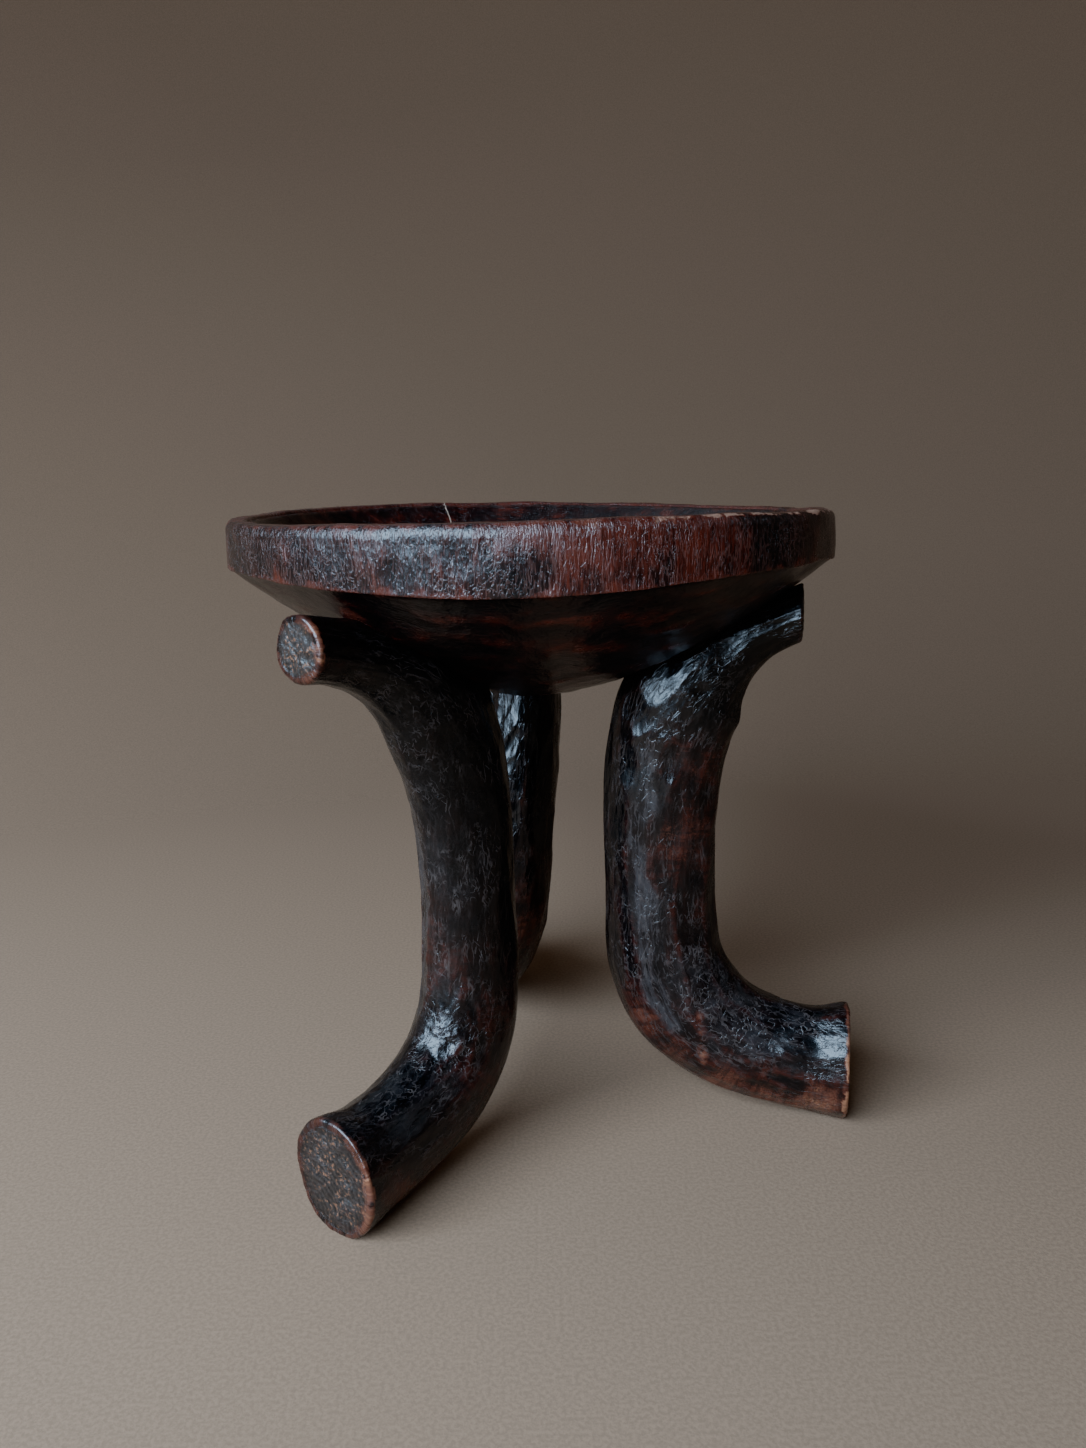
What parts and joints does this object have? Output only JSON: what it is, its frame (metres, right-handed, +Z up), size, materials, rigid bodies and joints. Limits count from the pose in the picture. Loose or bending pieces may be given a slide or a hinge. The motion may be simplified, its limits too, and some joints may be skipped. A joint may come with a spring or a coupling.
{
  "type": "three-legged stool",
  "caption": "Low carved hardwood stool: a round dished seat with an upright rim band on splayed C-shaped legs whose upper stubs and feet turn outward.",
  "frame": {"origin": "on the floor, under the middle of the stool's box", "axes": "+Z up from the floor to the rim, +X towards the right leg's side, +Y towards the rear leg's side"},
  "size_m": [0.3182, 0.3086, 0.3256],
  "materials": {
    "seat_wood": "dark red-brown hardwood, worn and polished by use",
    "leg_wood": "near-black hardwood patina with adze facets, polished by use"
  },
  "bodies": {
    "root": {"seat_dish": "seat_wood", "right_leg": "leg_wood", "left_leg": "leg_wood", "rear_leg": "leg_wood"}
  },
  "joints": []
}
